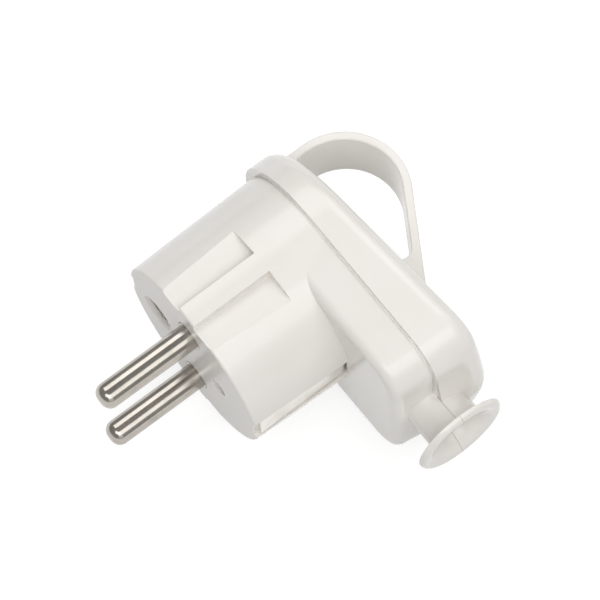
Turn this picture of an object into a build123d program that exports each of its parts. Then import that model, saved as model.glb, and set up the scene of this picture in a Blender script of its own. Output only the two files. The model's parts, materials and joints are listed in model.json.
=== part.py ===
from build123d import *
import os
from math import asin, atan, cos, degrees, radians, sin, sqrt, tan

os.makedirs("parts", exist_ok=True)

# Angled two-pole plug with side and socket earth contacts, a pull loop and a split cord mouth.
# It is modelled in the plug's own axes: X along the pin line, Y towards the cord,
# Z rearwards from the engagement face. At the end every piece is laid on the plug's side.

# Round body and arm of the front housing
face_radius = 18.1
body_draft = 1.6
face_edge_round = 0.5
parting_height = 27.2
shadow_gap = 0.45
arm_front = 19.6
arm_taper = 1.2
arm_draft = 8.0
arm_corner = 7.0
arm_reach = 32.6
arm_edge_round = 2.0
arm_root_inset = 0.05
housing_wall = 2.2
floor_thickness = 4.0
well_radius = 13.4

# Guide flats with a rib at the pin sides, earth grooves at the other two sides
flat_distance = 16.7
flat_length = 16.1
rib_width = 4.1
groove_width = 6.0
groove_depth = 1.1

# Rear cover
cover_half_width = 19.6
cover_round_offset = 0.95
cover_taper = 1.3
cover_corner = 7.5
cover_corner_overhang = 1.0
cover_end_radius = 15.0
cover_end_overhang = 2.8
cover_edge_round = 3.4
cover_wall = 2.8
back_height_round_end = 6.4
back_slope = 4.5
back_crown = 135.0
lip_height = 1.5
lip_thickness = 1.1
lip_clearance = 0.15

# Pull loop moulded with the cover
loop_width = 13.2
loop_thickness = 1.6
loop_radius = 11.9
loop_center_y = -5.4
loop_center_height = 37.5
loop_foot_y = 19.0
loop_embed = 1.2
loop_gap_sink = 0.5
loop_corner_round = 1.4
loop_foot_round = 2.3
loop_edge_round = 0.35

# Split mouth for the cord
throat_radius = 4.0
mouth_neck_radius = 5.2
mouth_rim_radius = 8.7
mouth_lip = 1.0
mouth_inner_flare = 4.0
mouth_outer_flare = 3.3
mouth_length = 5.1

# Contact pins
pin_radius = 2.4
pin_length = 19.0
pin_spacing = 19.0
pin_collar_radius = 2.7
pin_head_radius = 3.5
pin_head_length = 9.5
pin_tip_round = 1.9
pin_head_chamfer = 0.4
pin_hole_chamfer = 0.3
wire_hole_radius = 1.5
wire_hole_height = 4.0
pin_clearance = 0.05

# Earth contacts
earth_offset = 10.0
socket_radius = 3.4
socket_wall = 1.3
socket_chamfer = 0.5
sleeve_bore = 2.5
sleeve_recess = 0.7
sleeve_cap = 0.8
sleeve_slit = 0.6
sleeve_slit_length = 9.0
sleeve_clearance = 0.1
rivet_radius = 1.2
rivet_head_radius = 1.9
rivet_head_height = 0.5
strip_thickness = 0.8
strip_clearance = 0.3
strip_setback = 1.2
strip_bend = 1.0
bridge_width = 9.0
bridge_height = 19.4
earth_screw_offset = 1.0
washer_size = 6.4
washer_thickness = 1.0

# Screws
terminal_thread = 1.25
terminal_head_radius = 1.9
terminal_head_height = 1.6
terminal_screw_length = 5.2
earth_thread = 1.5
earth_head_radius = 2.7
earth_head_height = 1.9
earth_screw_length = 6.0
housing_screw_offset = 7.4
housing_thread = 1.0
housing_head_radius = 1.6
housing_head_height = 1.6
housing_screw_length = 26.0
housing_recess_depth = 2.4
boss_radius = 3.6
insert_wall = 1.0
insert_length = 6.0
clamp_thread = 1.25
clamp_head_radius = 2.2
clamp_head_height = 1.6
clamp_screw_length = 6.5
screw_slot_width = 0.7
screw_slot_depth = 0.8
screw_edge_round = 0.5
thread_clearance = 0.1
same_place = 0.01

# Cord clamp across the arm
clamp_y = 24.5
clamp_spacing = 20.0
clamp_length = 7.0
clamp_foot_thickness = 2.4
clamp_arch_wall = 1.6
clamp_arch_radius = 4.4
clamp_lug = 3.0
clamp_edge_round = 1.5
clamp_post_radius = 3.0
clamp_post_gap = 0.8
saddle_ribs = 3
saddle_pitch = 2.6
saddle_rib_width = 1.2

# Hold-down ribs of the cover above the pins
rib_thickness = 1.3
rib_length = 5.0
seat_gap = 0.1

# Worked-out places
gap_radius = face_radius + (parting_height - shadow_gap) * tan(radians(body_draft))
arm_root_radius = face_radius + arm_front * tan(radians(body_draft)) - arm_root_inset
arm_corner_y = arm_reach - arm_corner
cover_reach = arm_reach + cover_end_overhang
cover_corner_y = arm_reach + cover_corner_overhang - cover_corner
groove_floor = face_radius - groove_depth
leg_slot = strip_thickness + strip_clearance
strip_width = groove_width - 2 * strip_clearance
bridge_top = bridge_height + strip_thickness
arm_floor = arm_front + housing_wall
pin_head_top = floor_thickness + pin_head_length
pin_hole_radius = pin_collar_radius + pin_clearance
mouth_tip = cover_reach + mouth_length
throat_start = arm_reach - 2 * housing_wall
throat_end = mouth_tip - mouth_inner_flare
mouth_axis = Axis((0, 0, parting_height), (0, 1, 0))
clamp_seat = parting_height - clamp_post_gap
arch_outside = clamp_arch_radius + clamp_arch_wall
hold_down_x = pin_spacing / 2 + pin_head_radius - rib_thickness / 2 - pin_clearance
housing_screw_end = housing_recess_depth + housing_screw_length
insert_radius = housing_thread + insert_wall
earth_place = (0, -earth_offset)
boss_place = (0, housing_screw_offset)
earth_screw_place = (0, -earth_screw_offset)
pin_places = [(-pin_spacing / 2, 0), (pin_spacing / 2, 0)]
clamp_places = [(-clamp_spacing / 2, clamp_y), (clamp_spacing / 2, clamp_y)]
parting_plane = Plane.XY.offset(parting_height)


def corner_spacing(round_radius, round_y, corner, corner_y, taper):
    """Half spacing of two corner arcs whose tangents leave the round end at the taper."""
    lean = radians(taper)
    return (round_radius - corner - (corner_y - round_y) * sin(lean)) / cos(lean)


def arm_outline(plane, inset=0):
    """Round root and two corner arcs joined by tangents, drawn in by the inset."""
    corner_x = corner_spacing(arm_root_radius, 0, arm_corner, arm_corner_y, arm_taper)
    with BuildSketch(plane) as outline:
        Circle(arm_root_radius - inset)
        with Locations((-corner_x, arm_corner_y), (corner_x, arm_corner_y)):
            Circle(arm_corner - inset)
        make_hull()
    return outline.sketch


def slotted_screw(plane, places, head_radius, head_height, thread_radius, length):
    """Pan-head screws with one slot: heads stand on the plane, threads run behind it."""
    with BuildPart() as screw:
        with BuildSketch(plane):
            with Locations(*places):
                Circle(head_radius)
        extrude(amount=head_height)
        head_top = plane.offset(head_height)
        rims = screw.edges().filter_by(
            lambda edge: abs(head_top.to_local_coords(edge.center()).Z) < same_place
        )
        fillet(rims, screw_edge_round)
        with BuildSketch(head_top):
            with Locations(*places):
                Rectangle(3 * head_radius, screw_slot_width)
        extrude(amount=-screw_slot_depth, mode=Mode.SUBTRACT)
        with BuildSketch(plane):
            with Locations(*places):
                Circle(thread_radius)
        extrude(amount=-length)
    return screw.part


def back_line(y):
    """Height of the crown line of the cover's back over the face."""
    round_end = -cover_half_width - cover_round_offset
    return parting_height + back_height_round_end + (y - round_end) * tan(radians(back_slope))


def below_back(depth):
    """Corners of a region that ends the given depth below the crown line."""
    reach = 2 * loop_foot_y
    return (
        (-reach, back_line(-reach) - depth),
        (reach, back_line(reach) - depth),
        (reach, 0),
        (-reach, 0),
    )


# Profile of the cord mouth's wall, radius along X, on the parting plane
with BuildSketch(parting_plane) as mouth_profile:
    with BuildLine():
        root = arm_reach - housing_wall
        inside = Line((throat_radius, root), (throat_radius, throat_end))
        inner_flare = TangentArc(inside @ 1, (mouth_rim_radius - mouth_lip, mouth_tip), tangent=(0, 1))
        lip = TangentArc(inner_flare @ 1, (mouth_rim_radius, mouth_tip - mouth_lip), tangent=(1, 0))
        outer_neck = (mouth_neck_radius, mouth_tip - mouth_outer_flare)
        TangentArc(outer_neck, lip @ 1, tangent=(0, 1))
        Polyline(outer_neck, (mouth_neck_radius, root), inside @ 0)
    make_face()

# Front housing: arm, round body, face features, inner well and bosses
with BuildPart() as front_housing:
    gap_plane = parting_plane.offset(-shadow_gap)
    add(arm_outline(gap_plane))
    extrude(amount=arm_front + shadow_gap - parting_height, taper=arm_draft)
    fillet(front_housing.edges().group_by(Axis.Z)[0], arm_edge_round)
    Cone(
        face_radius, gap_radius, parting_height - shadow_gap, align=(Align.CENTER, Align.CENTER, Align.MIN)
    )
    fillet(front_housing.edges().group_by(Axis.Z)[0], face_edge_round)
    # Rebate all round under the cover, seen as a dark line
    add(arm_outline(gap_plane, shadow_gap))
    extrude(amount=shadow_gap)
    with BuildSketch(gap_plane):
        Circle(gap_radius - shadow_gap)
    extrude(amount=shadow_gap)
    with BuildSketch():
        with Locations((-2 * flat_distance, 0), (2 * flat_distance, 0)):
            Rectangle(2 * flat_distance, 2 * flat_distance)
        Rectangle(3 * gap_radius, rib_width, mode=Mode.SUBTRACT)
    extrude(amount=flat_length, mode=Mode.SUBTRACT)
    with BuildSketch():
        with Locations((0, -2 * groove_floor), (0, 2 * groove_floor)):
            Rectangle(groove_width, 2 * groove_floor)
    extrude(amount=arm_front, mode=Mode.SUBTRACT)
    with BuildSketch():
        with GridLocations(0, 2 * groove_floor + leg_slot, 1, 2):
            Rectangle(groove_width, leg_slot)
    extrude(amount=bridge_top + strip_clearance, mode=Mode.SUBTRACT)
    with BuildSketch(Plane.XY.offset(floor_thickness)):
        Circle(well_radius)
    extrude(amount=parting_height - floor_thickness, mode=Mode.SUBTRACT)
    add(arm_outline(Plane.XY.offset(arm_floor), housing_wall))
    extrude(amount=parting_height - arm_floor, mode=Mode.SUBTRACT)
    # Tube round the earth socket, post for the housing screw, posts for the cord clamp
    with BuildSketch(Plane.XY.offset(floor_thickness)):
        with Locations(earth_place):
            Circle(socket_radius + socket_wall)
    extrude(amount=bridge_height - floor_thickness - sleeve_cap)
    with BuildSketch(Plane.XY.offset(floor_thickness)):
        with Locations(boss_place):
            Circle(boss_radius)
        with Locations((0, (housing_screw_offset + groove_floor) / 2)):
            Rectangle(boss_radius, groove_floor - housing_screw_offset)
    extrude(amount=bridge_height - floor_thickness)
    with BuildSketch(Plane.XY.offset(arm_floor)):
        with Locations(*clamp_places):
            Circle(clamp_post_radius)
    extrude(amount=clamp_seat - arm_floor)
    with BuildSketch(Plane.XY.offset(arm_floor)):
        with Locations((0, clamp_y)):
            with GridLocations(0, saddle_pitch, 1, saddle_ribs):
                Rectangle(2 * clamp_arch_radius, saddle_rib_width)
    extrude(amount=parting_height - clamp_arch_radius - arm_floor)
    # Half of the cord mouth
    revolve(mouth_profile.sketch, axis=mouth_axis, revolution_arc=180)
    with BuildSketch(Plane.XZ.offset(-throat_start)):
        with Locations((0, parting_height)):
            Circle(throat_radius)
    extrude(amount=throat_start - throat_end, mode=Mode.SUBTRACT)
    # Windows where the earth strip passes from the grooves into the well
    with BuildSketch(Plane.XY.offset(bridge_top + strip_clearance)):
        Rectangle(groove_width, 2 * groove_floor + strip_thickness)
        Rectangle(groove_width, 2 * (well_radius - strip_bend), mode=Mode.SUBTRACT)
    extrude(amount=-strip_thickness - 3 * strip_clearance, mode=Mode.SUBTRACT)
    # Bores for the pins, the earth sleeve and the screws
    with Locations(Plane.XY.offset(floor_thickness)):
        with Locations(*pin_places):
            Hole(pin_hole_radius)
    with BuildSketch():
        with Locations(earth_place):
            Circle(socket_radius)
    extrude(amount=bridge_height, mode=Mode.SUBTRACT)
    with BuildSketch():
        with Locations(boss_place):
            Circle(housing_head_radius + 2 * thread_clearance)
    extrude(amount=housing_recess_depth, mode=Mode.SUBTRACT)
    with BuildSketch():
        with Locations(boss_place):
            Circle(housing_thread + 2 * thread_clearance)
    extrude(amount=bridge_height, mode=Mode.SUBTRACT)
    with BuildSketch(Plane.XY.offset(clamp_seat)):
        with Locations(*clamp_places):
            Circle(clamp_thread + thread_clearance)
    extrude(amount=clamp_foot_thickness - clamp_screw_length - thread_clearance, mode=Mode.SUBTRACT)
    for radius, size in ((socket_radius, socket_chamfer), (pin_hole_radius, pin_hole_chamfer)):
        face_rims = front_housing.edges().filter_by(GeomType.CIRCLE).group_by(Axis.Z)[0]
        chamfer(face_rims.filter_by(lambda rim: abs(rim.radius - radius) < same_place), size)

# Outline of the pull loop seen from the side: a round top and two feet sunk in the back
with BuildSketch(Plane.YZ) as loop_outline:
    with Locations((loop_center_y, loop_center_height)):
        Circle(loop_radius)
    with BuildLine():
        loop_back_y = loop_center_y - loop_radius
        Polyline(
            (loop_back_y, back_line(loop_back_y) - loop_embed),
            (loop_foot_y, back_line(loop_foot_y) - loop_embed),
            (loop_foot_y, back_line(loop_foot_y)),
        )
    make_hull()
    with BuildLine():
        Polyline(*below_back(loop_embed), close=True)
    make_face(mode=Mode.SUBTRACT)

# Finger gap: the outline less the band, down to just below the back
with BuildSketch(Plane.YZ) as finger_gap:
    add(loop_outline.sketch_local)
    offset(amount=-loop_thickness, mode=Mode.REPLACE)
    with BuildLine():
        Polyline(*below_back(loop_gap_sink), close=True)
    make_face(mode=Mode.SUBTRACT)
    feet = finger_gap.vertices().sort_by(Axis.Y)[:2].sort_by(Axis.X)
    fillet(feet[0], loop_corner_round)
    fillet(finger_gap.vertices().sort_by(Axis.X)[-1], loop_foot_round)

with BuildPart() as pull_loop:
    with BuildSketch(Plane.YZ):
        add(loop_outline.sketch_local)
        add(finger_gap.sketch_local, mode=Mode.SUBTRACT)
    extrude(amount=loop_width / 2, both=True)
    fillet(pull_loop.faces().filter_by(Axis.X).edges(), loop_edge_round)

# Inner space of the cover, with a ceiling along the back
with BuildPart() as cover_space:
    add(arm_outline(parting_plane.offset(-lip_height), housing_wall + lip_clearance + lip_thickness))
    extrude(amount=lip_height + 3 * back_height_round_end)
    with BuildSketch(Plane.YZ):
        with BuildLine():
            Polyline(*below_back(cover_wall), close=True)
        make_face()
    extrude(amount=cover_half_width, both=True, mode=Mode.INTERSECT)

# Rear cover: crowned sloping back, pull loop and half of the cord mouth
with BuildPart() as rear_cover:
    with BuildSketch(parting_plane):
        with Locations((0, -cover_round_offset)):
            Circle(cover_half_width)
        corner_x = corner_spacing(
            cover_half_width, -cover_round_offset, cover_corner, cover_corner_y, cover_taper
        )
        with Locations((-corner_x, cover_corner_y), (corner_x, cover_corner_y)):
            Circle(cover_corner)
        with Locations((0, cover_reach - cover_end_radius)):
            Circle(cover_end_radius)
        make_hull()
    extrude(amount=3 * back_height_round_end)
    crown_turn = asin(2 * cover_half_width / back_crown)
    crown_base = back_line(0) - back_crown
    crown_plane = Plane(
        (0, 0, crown_base), x_dir=(0, 1, 0), z_dir=(cos(crown_turn), 0, sin(crown_turn))
    )
    with BuildSketch(crown_plane):
        with BuildLine():
            span = 2 * cover_reach
            Polyline(
                (-span, back_line(-span) - crown_base),
                (span, back_line(span) - crown_base),
                (span, back_crown / 2),
                (-span, back_crown / 2),
                close=True,
            )
        make_face()
    revolve(
        axis=Axis((0, 0, crown_base), (0, 1, 0)),
        revolution_arc=2 * degrees(crown_turn),
        mode=Mode.INTERSECT,
    )
    fillet(rear_cover.faces().sort_by(Axis.Z)[-1].edges(), cover_edge_round)
    add(pull_loop.part)
    # Half of the cord mouth, locating lip and inner space
    revolve(mouth_profile.sketch, axis=-mouth_axis, revolution_arc=180)
    add(arm_outline(parting_plane, housing_wall + lip_clearance))
    extrude(amount=-lip_height)
    add(cover_space.part, mode=Mode.SUBTRACT)
    with BuildSketch(Plane.XZ.offset(-throat_start)):
        with Locations((0, parting_height)):
            Circle(throat_radius)
    extrude(amount=throat_start - throat_end, mode=Mode.SUBTRACT)
    # Post for the housing screw with its insert, ribs that hold the pins down
    post_foot = bridge_top + seat_gap
    with BuildSketch(Plane.XY.offset(post_foot)):
        with Locations(boss_place):
            Circle(boss_radius)
    extrude(amount=back_line(housing_screw_offset) - cover_wall / 2 - post_foot)
    rib_foot = pin_head_top + seat_gap
    with BuildSketch(Plane.XY.offset(rib_foot)):
        with GridLocations(2 * hold_down_x, 0, 2, 1):
            Rectangle(rib_thickness, rib_length)
    extrude(amount=back_line(0) - cover_wall / 2 - rib_foot)
    with BuildSketch(Plane.XY.offset(bridge_top)):
        with Locations(boss_place):
            Circle(insert_radius)
    extrude(amount=seat_gap + insert_length, mode=Mode.SUBTRACT)
    with BuildSketch(Plane.XY.offset(bridge_top)):
        with Locations(boss_place):
            Circle(housing_thread + thread_clearance)
    extrude(amount=housing_screw_end - bridge_top + seat_gap, mode=Mode.SUBTRACT)


def contact_pin(x):
    """Round pin with a domed tip, a shouldered terminal head and a cross hole for the wire."""
    with BuildPart() as pin:
        with BuildSketch(Plane((x, 0, 0), x_dir=(1, 0, 0), z_dir=(0, -1, 0))) as half_section:
            with BuildLine():
                Polyline(
                    (0, -pin_length),
                    (pin_radius, -pin_length),
                    (pin_radius, 0),
                    (pin_collar_radius, 0),
                    (pin_collar_radius, floor_thickness),
                    (pin_head_radius, floor_thickness),
                    (pin_head_radius, pin_head_top),
                    (0, pin_head_top),
                    close=True,
                )
            make_face()
            corners = half_section.vertices()
            fillet(corners.group_by(Axis.Y)[0].sort_by(Axis.X)[-1], pin_tip_round)
            chamfer(half_section.vertices().group_by(Axis.Y)[-1].sort_by(Axis.X)[-1], pin_head_chamfer)
        revolve(axis=Axis((x, 0, 0), (0, 0, 1)))
        with BuildSketch(Plane.XZ):
            with Locations((x, floor_thickness + wire_hole_height)):
                Circle(wire_hole_radius)
        extrude(amount=2 * pin_head_radius, both=True, mode=Mode.SUBTRACT)
        with BuildSketch(Plane.XY.offset(pin_head_top)):
            with Locations((x, 0)):
                Circle(terminal_thread + thread_clearance)
        extrude(amount=wire_hole_height - pin_head_length, mode=Mode.SUBTRACT)
    return pin.part


# Earth sleeve: slit tube with a riveted end
with BuildPart() as earth_sleeve:
    with BuildSketch(Plane((0, -earth_offset, 0), x_dir=(1, 0, 0), z_dir=(0, -1, 0))):
        with BuildLine():
            sleeve_radius = socket_radius - sleeve_clearance
            Polyline(
                (sleeve_bore, sleeve_recess),
                (sleeve_radius, sleeve_recess),
                (sleeve_radius, bridge_height),
                (rivet_radius, bridge_height),
                (rivet_radius, bridge_top),
                (rivet_head_radius, bridge_top),
                (rivet_head_radius, bridge_top + rivet_head_height),
                (0, bridge_top + rivet_head_height),
                (0, bridge_height - sleeve_cap),
                (sleeve_bore, bridge_height - sleeve_cap),
                close=True,
            )
        make_face()
    revolve(axis=Axis((0, -earth_offset, 0), (0, 0, 1)))
    with BuildSketch(Plane.XY.offset(sleeve_recess)):
        with Locations(earth_place):
            Rectangle(2 * socket_radius, sleeve_slit)
            Rectangle(sleeve_slit, 2 * socket_radius)
    extrude(amount=sleeve_slit_length, mode=Mode.SUBTRACT)

# Earth bracket: folded strip from groove to groove with a wide bridge between
with BuildPart() as earth_bracket:
    with BuildSketch(Plane.YZ):
        with BuildLine():
            leg_y = groove_floor + strip_thickness / 2
            fold_height = bridge_height + strip_thickness / 2
            FilletPolyline(
                (-leg_y, strip_setback),
                (-leg_y, fold_height),
                (leg_y, fold_height),
                (leg_y, strip_setback),
                radius=strip_bend,
            )
        trace(line_width=strip_thickness)
    extrude(amount=strip_width / 2, both=True)
    with BuildSketch(Plane.XY.offset(bridge_height)):
        bridge_half_length = sqrt(well_radius**2 - (bridge_width / 2) ** 2) - strip_clearance
        Rectangle(bridge_width, 2 * bridge_half_length)
    extrude(amount=strip_thickness)
    with BuildSketch(Plane.XY.offset(bridge_height)):
        with Locations(earth_place):
            Circle(rivet_radius)
        with Locations(earth_screw_place):
            Circle(earth_thread + thread_clearance)
        with Locations(boss_place):
            Circle(housing_thread + 2 * thread_clearance)
    extrude(amount=strip_thickness, mode=Mode.SUBTRACT)

# Square clamping washer of the earth terminal
with BuildPart() as earth_washer:
    with BuildSketch(Plane.XY.offset(bridge_top)):
        with Locations(earth_screw_place):
            RectangleRounded(washer_size, washer_size, washer_thickness)
            Circle(earth_thread + thread_clearance, mode=Mode.SUBTRACT)
    extrude(amount=washer_thickness)

# Threaded insert in the cover's post
with BuildPart() as housing_insert:
    with BuildSketch(Plane.XY.offset(bridge_top + seat_gap)):
        with Locations(boss_place):
            Circle(insert_radius)
            Circle(housing_thread + thread_clearance, mode=Mode.SUBTRACT)
    extrude(amount=insert_length)

# Cord clamp: an arched bar on two posts
with BuildPart() as cord_clamp:
    with BuildSketch(Plane.XZ.offset(-clamp_y)):
        with Locations((0, clamp_seat)):
            Rectangle(clamp_spacing + 2 * clamp_lug, clamp_foot_thickness, align=(Align.CENTER, Align.MIN))
        with Locations((0, parting_height)):
            Circle(arch_outside)
            Circle(clamp_arch_radius, mode=Mode.SUBTRACT)
        with Locations((0, clamp_seat)):
            Rectangle(2 * clamp_spacing, arch_outside, align=(Align.CENTER, Align.MAX), mode=Mode.SUBTRACT)
    extrude(amount=clamp_length / 2, both=True)
    upright_edges = cord_clamp.edges().filter_by(Axis.Z).group_by(Axis.X)
    fillet(upright_edges[0] + upright_edges[-1], clamp_edge_round)
    with BuildSketch(Plane.XY.offset(clamp_seat)):
        with Locations(*clamp_places):
            Circle(clamp_thread + thread_clearance)
    extrude(amount=clamp_foot_thickness, mode=Mode.SUBTRACT)

pieces = {
    "front_housing": front_housing.part,
    "rear_cover": rear_cover.part,
    "line_pin": contact_pin(pin_spacing / 2),
    "neutral_pin": contact_pin(-pin_spacing / 2),
    "terminal_screws": slotted_screw(
        Plane.XY.offset(pin_head_top),
        pin_places,
        terminal_head_radius,
        terminal_head_height,
        terminal_thread,
        terminal_screw_length,
    ),
    "earth_bracket": earth_bracket.part,
    "earth_sleeve": earth_sleeve.part,
    "earth_washer": earth_washer.part,
    "earth_screw": slotted_screw(
        Plane.XY.offset(bridge_top + washer_thickness),
        [earth_screw_place],
        earth_head_radius,
        earth_head_height,
        earth_thread,
        earth_screw_length,
    ),
    "housing_insert": housing_insert.part,
    "housing_screw": slotted_screw(
        Plane((0, housing_screw_offset, housing_recess_depth), x_dir=(1, 0, 0), z_dir=(0, 0, -1)),
        [(0, 0)],
        housing_head_radius,
        housing_head_height,
        housing_thread,
        housing_screw_length,
    ),
    "cord_clamp": cord_clamp.part,
    "cord_clamp_screws": slotted_screw(
        Plane.XY.offset(clamp_seat + clamp_foot_thickness),
        clamp_places,
        clamp_head_radius,
        clamp_head_height,
        clamp_thread,
        clamp_screw_length,
    ),
}

# The plug lies on its side: on the cover's parting edge and on the rib beside the face.
# Frame of the laid part: X along the cord, Y rearwards, Z up, origin below the middle of its box.
rim_radius = face_radius + face_edge_round * tan(radians(body_draft))
side_lean = radians(cover_taper)
side_reach = cover_half_width - cover_round_offset * sin(side_lean)
lie_tilt = atan((side_reach - rim_radius) / (parting_height - face_edge_round))
up = Vector(cos(lie_tilt) * cos(side_lean), -cos(lie_tilt) * sin(side_lean), sin(lie_tilt))
cord_way = Vector(0, 1, 0)
table = Plane((0, 0, 0), x_dir=cord_way - up * cord_way.dot(up), z_dir=up)
lying = table.location.inverse()
box = Compound([piece.moved(lying) for piece in pieces.values()]).bounding_box()
middle = box.center()
placed = Pos(-middle.X, -middle.Y, -box.min.Z) * lying

for name, piece in pieces.items():
    laid = piece.moved(placed)
    laid.label = name
    export_step(laid, f"parts/{name}.step")
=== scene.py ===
import json
import math

import bmesh
import bpy
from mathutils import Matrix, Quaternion, Vector

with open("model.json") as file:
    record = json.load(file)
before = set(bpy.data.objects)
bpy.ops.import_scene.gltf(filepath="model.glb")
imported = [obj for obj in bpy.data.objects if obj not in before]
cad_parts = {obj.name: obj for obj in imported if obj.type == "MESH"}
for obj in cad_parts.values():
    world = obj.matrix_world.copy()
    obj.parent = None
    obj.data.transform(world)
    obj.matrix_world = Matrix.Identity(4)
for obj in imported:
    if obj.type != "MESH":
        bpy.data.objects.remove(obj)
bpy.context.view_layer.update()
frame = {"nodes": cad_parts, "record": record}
nodes = frame["nodes"]
scene = bpy.context.scene
print("frame loaded with", len(nodes), "nodes")


# camera, set up from the pins, the face rim and the parting line of the photograph

cameraSettings = {
    "place": (0.188347, -0.138733, 0.554957),
    "target": (-0.006732, 0.005683, 0.019123),
    "roll": -1.194,  # degrees
    "lens": 203.47,
    "sensor": 36.0,
    "clip": (0.02, 20.0),
}


def makeCamera(settings):
    data = bpy.data.cameras.new("photoCamera")
    data.lens = settings["lens"]
    data.sensor_width = settings["sensor"]
    data.clip_start, data.clip_end = settings["clip"]
    camera = bpy.data.objects.new("photoCamera", data)
    scene.collection.objects.link(camera)
    place = Vector(settings["place"])
    look = Vector(settings["target"]) - place
    turn = look.to_track_quat("-Z", "Y")
    camera.rotation_mode = "QUATERNION"
    camera.rotation_quaternion = turn @ Quaternion((0, 0, 1), math.radians(settings["roll"]))
    camera.location = place
    scene.camera = camera


makeCamera(cameraSettings)
print("camera placed")


# helpers for node trees: what goes into a socket is either a value to set or another socket to link

def feed(tree, socket, value):
    if isinstance(value, bpy.types.NodeSocket):
        tree.links.new(value, socket)
    else:
        socket.default_value = value


def addNode(tree, kind, place, inputs=None, **options):
    node = tree.nodes.new(kind)
    node.location = place
    for name, value in options.items():
        setattr(node, name, value)
    for name, value in (inputs or {}).items():
        feed(tree, node.inputs[name], value)
    return node


def addMath(tree, place, operation, *values):
    node = addNode(tree, "ShaderNodeMath", place, operation=operation)
    for socket, value in zip(node.inputs, values):
        feed(tree, socket, value)
    return node.outputs[0]


def addRange(tree, place, value, start, end, low=0.0, high=1.0, shape="LINEAR"):
    inputs = {"Value": value, "From Min": start, "From Max": end, "To Min": low, "To Max": high}
    return addNode(tree, "ShaderNodeMapRange", place, inputs, interpolation_type=shape).outputs["Result"]


mixSockets = {"FLOAT": (2, 3, 0), "RGBA": (6, 7, 2)}  # both inputs and the result of a Mix node


def addMix(tree, place, kind, factor, first, second):
    firstInput, secondInput, result = mixSockets[kind]
    inputs = {0: factor, firstInput: first, secondInput: second}
    return addNode(tree, "ShaderNodeMix", place, inputs, data_type=kind).outputs[result]


def newMaterial(name):
    material = bpy.data.materials.new(name)
    material.use_nodes = True
    material.node_tree.nodes.clear()
    return material, material.node_tree


def newGroup(name, inputs, outputs):
    tree = bpy.data.node_groups.new(name, "ShaderNodeTree")
    for way, sockets in (("INPUT", inputs), ("OUTPUT", outputs)):
        for label, kind in sockets.items():
            tree.interface.new_socket(label, in_out=way, socket_type="NodeSocket" + kind)
    return tree, addNode(tree, "NodeGroupInput", (-900, 0)).outputs


surfaceOutputs = {"Color": "Color", "Roughness": "Float", "Height": "Float"}


# moulded skin: slow drift of tint and gloss, and the fine pebble of the mould

skinSettings = {
    "drift": 60.0,
    "driftDetail": 3.0,
    "shade": (0.35, 0.75),
    "pebble": 2500.0,
    "pebbleDetail": 2.0,
}


def makeMouldedSkin(settings):
    inputs = {"Base": "Color", "Tint": "Color", "Gloss": "Float", "Spread": "Float"}
    tree, given = newGroup("mouldedSkin", inputs, surfaceOutputs)
    where = addNode(tree, "ShaderNodeTexCoord", (-900, -300)).outputs["Object"]
    drift = addNode(
        tree, "ShaderNodeTexNoise", (-600, 200),
        {"Vector": where, "Scale": settings["drift"], "Detail": settings["driftDetail"]}).outputs["Fac"]
    pebble = addNode(
        tree, "ShaderNodeTexNoise", (-600, -150),
        {"Vector": where, "Scale": settings["pebble"], "Detail": settings["pebbleDetail"]}).outputs["Fac"]
    shade = addRange(tree, (-300, 200), drift, *settings["shade"])
    color = addMix(tree, (100, 250), "RGBA", shade, given["Base"], given["Tint"])
    wander = addMath(tree, (-100, -50), "MULTIPLY", drift, given["Spread"])
    roughness = addMath(tree, (150, -50), "ADD", wander, given["Gloss"])
    addNode(tree, "NodeGroupOutput", (900, 0), {"Color": color, "Roughness": roughness, "Height": pebble})
    return tree


mouldedSkin = makeMouldedSkin(skinSettings)


# drawn metal: fine noise that the stretch pulls into lines, and dull blotches

drawnSettings = {
    "lineDetail": 4.0,
    "blotch": 260.0,
    "blotchDetail": 5.0,
    "blotchRoughness": 0.65,
    "dulling": (0.45, 0.8),
}


def makeDrawnMetal(settings):
    inputs = {"Bright": "Color", "Dull": "Color", "Stretch": "Vector",
              "Lines": "Float", "Gloss": "Float", "Spread": "Float"}
    tree, given = newGroup("drawnMetal", inputs, surfaceOutputs)
    where = addNode(tree, "ShaderNodeTexCoord", (-900, -300)).outputs["Object"]
    stretch = addNode(
        tree, "ShaderNodeVectorMath", (-700, -200),
        {0: where, 1: given["Stretch"]}, operation="MULTIPLY").outputs["Vector"]
    lines = addNode(
        tree, "ShaderNodeTexNoise", (-450, -200),
        {"Vector": stretch, "Scale": given["Lines"], "Detail": settings["lineDetail"]}).outputs["Fac"]
    blotch = addNode(
        tree, "ShaderNodeTexNoise", (-450, 150),
        {"Vector": where, "Scale": settings["blotch"], "Detail": settings["blotchDetail"],
         "Roughness": settings["blotchRoughness"]}).outputs["Fac"]
    dull = addRange(tree, (-200, 150), blotch, *settings["dulling"])
    color = addMix(tree, (100, 250), "RGBA", dull, given["Bright"], given["Dull"])
    wander = addMath(tree, (-100, -50), "MULTIPLY", lines, given["Spread"])
    roughness = addMath(tree, (150, -50), "ADD", wander, given["Gloss"])
    addNode(tree, "NodeGroupOutput", (900, 0), {"Color": color, "Roughness": roughness, "Height": lines})
    return tree


drawnMetal = makeDrawnMetal(drawnSettings)
print("shared surface effects made")


# marks of the mould, set out from the parting plane: a thin line where the halves of the cord mouth meet
# and a duller contact face;
# also painted light: a paler colour in the shadow gap round the cover, lifting the shade there

markAndGapLightSettings = {
    "seamWidth": 0.00013,
    "seamColor": (0.62, 0.585, 0.54, 1),
    "seamSink": 0.00008,
    "seamStrength": 0.6,
    "mouthReach": 0.007,  # from the tip of the bell to a little past its root
    "gap": (-0.000454, 0.000026),  # from the foot of the gap to just past the parting plane
    "paintedGapLight": (0.955, 0.935, 0.90, 1),  # painted light: paler colour that lifts the shade in the gap, standing in for light through the thin plastic
    "faceBand": 0.0003,  # depth of the face and its edge
    "faceRoughness": 0.32,
}

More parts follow.
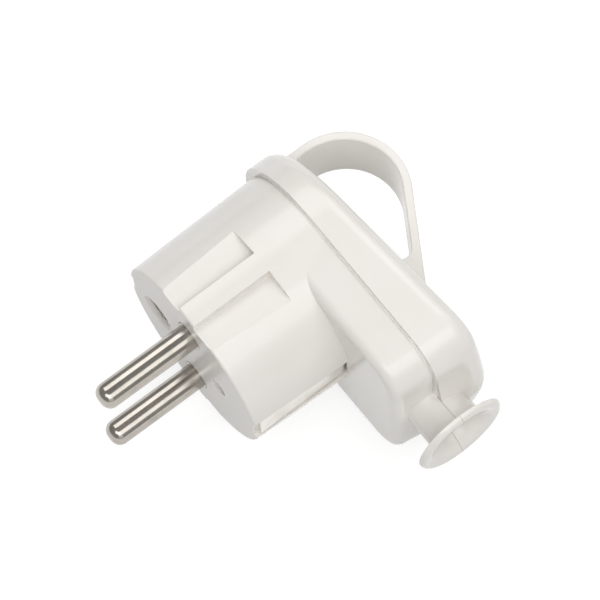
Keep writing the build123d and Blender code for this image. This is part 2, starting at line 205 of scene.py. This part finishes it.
contact = next(mount for mount in frame["record"]["mounts"] if mount["name"] == "line_contact")
rearward = -Vector(contact["axis"])  # square to the parting plane
housingPoints = [vertex.co for vertex in nodes["front_housing"].data.vertices]
housingLevels = [rearward.dot(point) for point in housingPoints]
faceLevel, partingLevel = min(housingLevels), max(housingLevels)
mouthEnd = max(point.x for point in housingPoints)


def addMarksAndGapLight(tree, settings, color, roughness, normal):
    where = addNode(tree, "ShaderNodeTexCoord", (-900, -500)).outputs["Object"]
    along = addNode(
        tree, "ShaderNodeVectorMath", (-700, -500),
        {0: where, 1: rearward}, operation="DOT_PRODUCT").outputs["Value"]
    above = addMath(tree, (-500, -500), "SUBTRACT", along, partingLevel)
    apart = addMath(tree, (-350, -500), "ABSOLUTE", above)
    line = addRange(tree, (-200, -500), apart, 0.0, settings["seamWidth"], 1.0, 0.0, "SMOOTHSTEP")
    split = addNode(tree, "ShaderNodeSeparateXYZ", (-700, -750), {0: where})
    mouthStart = mouthEnd - settings["mouthReach"]
    mouth = addMath(tree, (-500, -750), "GREATER_THAN", split.outputs["X"], mouthStart)
    seam = addMath(tree, (0, -550), "MULTIPLY", line, mouth)
    gapFoot, gapTop = settings["gap"]
    inGap = addMath(tree, (-200, -800), "COMPARE", above, (gapFoot + gapTop) / 2, (gapTop - gapFoot) / 2)
    body = addMath(tree, (-350, -950), "SUBTRACT", 1.0, mouth)
    gap = addMath(tree, (0, -800), "MULTIPLY", inGap, body)
    # painted light: the gap gets a paler colour to lift its shade
    pale = addMix(tree, (200, 250), "RGBA", gap, color, settings["paintedGapLight"])
    tone = addMix(tree, (380, 150), "RGBA", seam, pale, settings["seamColor"])
    sink = addNode(
        tree, "ShaderNodeBump", (400, -450),
        {"Strength": settings["seamStrength"], "Distance": settings["seamSink"],
         "Height": seam, "Normal": normal}, invert=True)
    face = addMath(tree, (0, -1050), "LESS_THAN", above, faceLevel - partingLevel + settings["faceBand"])
    dull = addMix(tree, (380, -100), "FLOAT", face, roughness, settings["faceRoughness"])
    return tone, dull, sink.outputs["Normal"]


# glossy warm white plastic of the two mouldings, duller plastic of the cord clamp

plasticSettings = {
    "base": (0.86, 0.835, 0.795, 1),
    "tint": (0.83, 0.80, 0.75, 1),
    "gloss": 0.14,
    "spread": 0.06,
    "bump": 0.02,
    "grain": 0.0002,
    "ior": 1.5,
    "marksAndGapLight": markAndGapLightSettings,
}

clampSettings = dict(
    plasticSettings,
    base=(0.72, 0.70, 0.66, 1),
    tint=(0.66, 0.64, 0.60, 1),
    gloss=0.45,
    bump=0.08,
    marksAndGapLight=None,
)


def finishMaterial(tree, inputs):
    surface = addNode(tree, "ShaderNodeBsdfPrincipled", (650, 0), inputs)
    addNode(tree, "ShaderNodeOutputMaterial", (950, 0), {"Surface": surface.outputs[0]})


def addGrain(tree, settings, height):
    inputs = {"Strength": settings["bump"], "Distance": settings["grain"], "Height": height}
    return addNode(tree, "ShaderNodeBump", (300, -250), inputs).outputs["Normal"]


def makePlastic(name, settings):
    material, tree = newMaterial(name)
    skin = addNode(
        tree, "ShaderNodeGroup", (0, 0),
        {"Base": settings["base"], "Tint": settings["tint"],
         "Gloss": settings["gloss"], "Spread": settings["spread"]},
        node_tree=mouldedSkin).outputs
    color, roughness = skin["Color"], skin["Roughness"]
    normal = addGrain(tree, settings, skin["Height"])
    if settings["marksAndGapLight"]:
        color, roughness, normal = addMarksAndGapLight(tree, settings["marksAndGapLight"], color, roughness, normal)
    finishMaterial(
        tree, {"Base Color": color, "Roughness": roughness, "Normal": normal, "IOR": settings["ior"]})
    return material


# metal pieces: nickel on the pins and earth strip, zinc on the screws, bare brass insert

metalSettings = {
    "nickelPin": {
        "bright": (0.47, 0.438, 0.395, 1), "dull": (0.36, 0.335, 0.30, 1), "stretch": (1, 0.03, 1),
        "lines": 1800.0, "gloss": 0.11, "spread": 0.13, "bump": 0.1, "grain": 0.0001,
    },
    "nickelStrip": {
        "bright": (0.80, 0.775, 0.735, 1), "dull": (0.64, 0.612, 0.568, 1), "stretch": (1, 0.04, 1),
        "lines": 1500.0, "gloss": 0.22, "spread": 0.24, "bump": 0.1, "grain": 0.0001,
    },
    "zincScrew": {
        "bright": (0.58, 0.58, 0.57, 1), "dull": (0.42, 0.42, 0.41, 1), "stretch": (1, 1, 1),
        "lines": 1200.0, "gloss": 0.3, "spread": 0.2, "bump": 0.06, "grain": 0.0001,
    },
    "turnedBrass": {
        "bright": (0.72, 0.54, 0.26, 1), "dull": (0.5, 0.36, 0.17, 1), "stretch": (0.05, 1, 0.05),
        "lines": 1500.0, "gloss": 0.22, "spread": 0.18, "bump": 0.06, "grain": 0.0001,
    },
}


def makeMetal(name, settings):
    material, tree = newMaterial(name)
    drawn = addNode(
        tree, "ShaderNodeGroup", (0, 0),
        {"Bright": settings["bright"], "Dull": settings["dull"], "Stretch": settings["stretch"],
         "Lines": settings["lines"], "Gloss": settings["gloss"], "Spread": settings["spread"]},
        node_tree=drawnMetal).outputs
    color, roughness = drawn["Color"], drawn["Roughness"]
    normal = addGrain(tree, settings, drawn["Height"])
    finishMaterial(
        tree, {"Base Color": color, "Roughness": roughness, "Normal": normal, "Metallic": 1.0})
    return material


warmPlastic = makePlastic("warmWhitePlastic", plasticSettings)
clampPlastic = makePlastic("clampPlastic", clampSettings)
metals = {name: makeMetal(name, settings) for name, settings in metalSettings.items()}

finishes = {
    "front_housing": warmPlastic,
    "rear_cover": warmPlastic,
    "line_pin": metals["nickelPin"],
    "neutral_pin": metals["nickelPin"],
    "earth_bracket": metals["nickelStrip"],
    "earth_sleeve": metals["nickelStrip"],
    "terminal_screws": metals["zincScrew"],
    "earth_screw": metals["zincScrew"],
    "earth_washer": metals["zincScrew"],
    "housing_screw": metals["zincScrew"],
    "cord_clamp_screws": metals["zincScrew"],
    "housing_insert": metals["turnedBrass"],
    "cord_clamp": clampPlastic,
}
for nodeName, finish in finishes.items():
    mesh = nodes[nodeName].data
    mesh.materials.clear()
    mesh.materials.append(finish)
print("finishes set on", len(finishes), "nodes")


# pale floor, which looks white to the camera and in the metal and keeps the shadow

floorSettings = {
    "size": 6.0,
    "color": (0.44, 0.44, 0.44, 1),
    "lift": 0.71,
    "farLift": 0.86,  # where the lamps no longer reach
    "fade": (0.25, 1.1),
}


def makeFloor(settings):
    mesh = bpy.data.meshes.new("studioFloor")
    shape = bmesh.new()
    bmesh.ops.create_grid(shape, x_segments=1, y_segments=1, size=settings["size"])
    shape.to_mesh(mesh)
    shape.free()
    floor = bpy.data.objects.new("studioFloor", mesh)
    scene.collection.objects.link(floor)
    material, tree = newMaterial("paleFloor")
    matt = addNode(tree, "ShaderNodeBsdfDiffuse", (0, 100), {"Color": settings["color"]})
    path = addNode(tree, "ShaderNodeLightPath", (-500, -200)).outputs
    seen = addMath(tree, (-300, -200), "MAXIMUM", path["Is Camera Ray"], path["Is Glossy Ray"])
    where = addNode(tree, "ShaderNodeTexCoord", (-900, -400)).outputs["Object"]
    away = addNode(
        tree, "ShaderNodeVectorMath", (-700, -400), {0: where}, operation="LENGTH").outputs["Value"]
    level = addRange(
        tree, (-500, -400), away, *settings["fade"], settings["lift"], settings["farLift"], "SMOOTHSTEP")
    lift = addMath(tree, (-100, -200), "MULTIPLY", seen, level)
    glow = addNode(tree, "ShaderNodeEmission", (100, -150), {"Strength": lift})
    both = addNode(tree, "ShaderNodeAddShader", (400, 0), {0: matt.outputs[0], 1: glow.outputs[0]})
    addNode(tree, "ShaderNodeOutputMaterial", (650, 0), {"Surface": both.outputs[0]})
    mesh.materials.append(material)


# even light from all round, plain white behind the floor's edge

worldSettings = {"color": (1, 1, 1, 1), "ambient": 0.36, "seen": 1.0}


def makeWorld(settings):
    world = bpy.data.worlds.new("studioWorld")
    scene.world = world
    world.use_nodes = True
    tree = world.node_tree
    tree.nodes.clear()
    color = settings["color"]
    soft = addNode(
        tree, "ShaderNodeBackground", (0, 100), {"Color": color, "Strength": settings["ambient"]})
    white = addNode(
        tree, "ShaderNodeBackground", (0, -100), {"Color": color, "Strength": settings["seen"]})
    path = addNode(tree, "ShaderNodeLightPath", (-500, 300)).outputs
    seen = addMath(tree, (-300, 300), "MAXIMUM", path["Is Camera Ray"], path["Is Transmission Ray"])
    choose = addNode(
        tree, "ShaderNodeMixShader", (300, 0), {0: seen, 1: soft.outputs[0], 2: white.outputs[0]})
    addNode(tree, "ShaderNodeOutputWorld", (600, 0), {"Surface": choose.outputs[0]})


# softboxes on both sides, which draw the two streaks on the pins, and weaker fills in front, behind and low

lampSettings = {
    "cordSoftbox": {
        "place": (0.43, 0.0, 0.54), "target": (0, 0, 0.02), "size": (0.8, 0.38), "power": 1.56,
    },
    "farSoftbox": {
        "place": (-0.36, 0.20, 0.60), "target": (0, 0.05, 0.02), "size": (0.8, 0.38), "power": 1.76,
    },
    "frontSoftbox": {
        "place": (0.22, -0.33, 0.57), "target": (0, 0, 0.02), "size": (0.5, 0.3), "power": 0.88,
    },
    "backSoftbox": {
        "place": (-0.10, 0.52, 0.42), "target": (0, 0, 0.02), "size": (0.6, 0.35), "power": 0.36,
    },
    "lowFill": {
        "place": (0.62, -0.22, 0.30), "target": (0, 0, 0.02), "size": (0.5, 0.5), "power": 0.38,
    },
}


def makeLamp(name, settings):
    data = bpy.data.lights.new(name, "AREA")
    data.shape = "RECTANGLE"
    data.size, data.size_y = settings["size"]
    data.energy = settings["power"]
    lamp = bpy.data.objects.new(name, data)
    scene.collection.objects.link(lamp)
    lamp.location = settings["place"]
    aim = Vector(settings["target"]) - Vector(settings["place"])
    lamp.rotation_mode = "QUATERNION"
    lamp.rotation_quaternion = aim.to_track_quat("-Z", "Y")


makeFloor(floorSettings)
makeWorld(worldSettings)
for lampName, settings in lampSettings.items():
    makeLamp(lampName, settings)
scene.view_settings.view_transform = "Standard"
print("floor, world and lamps ready")
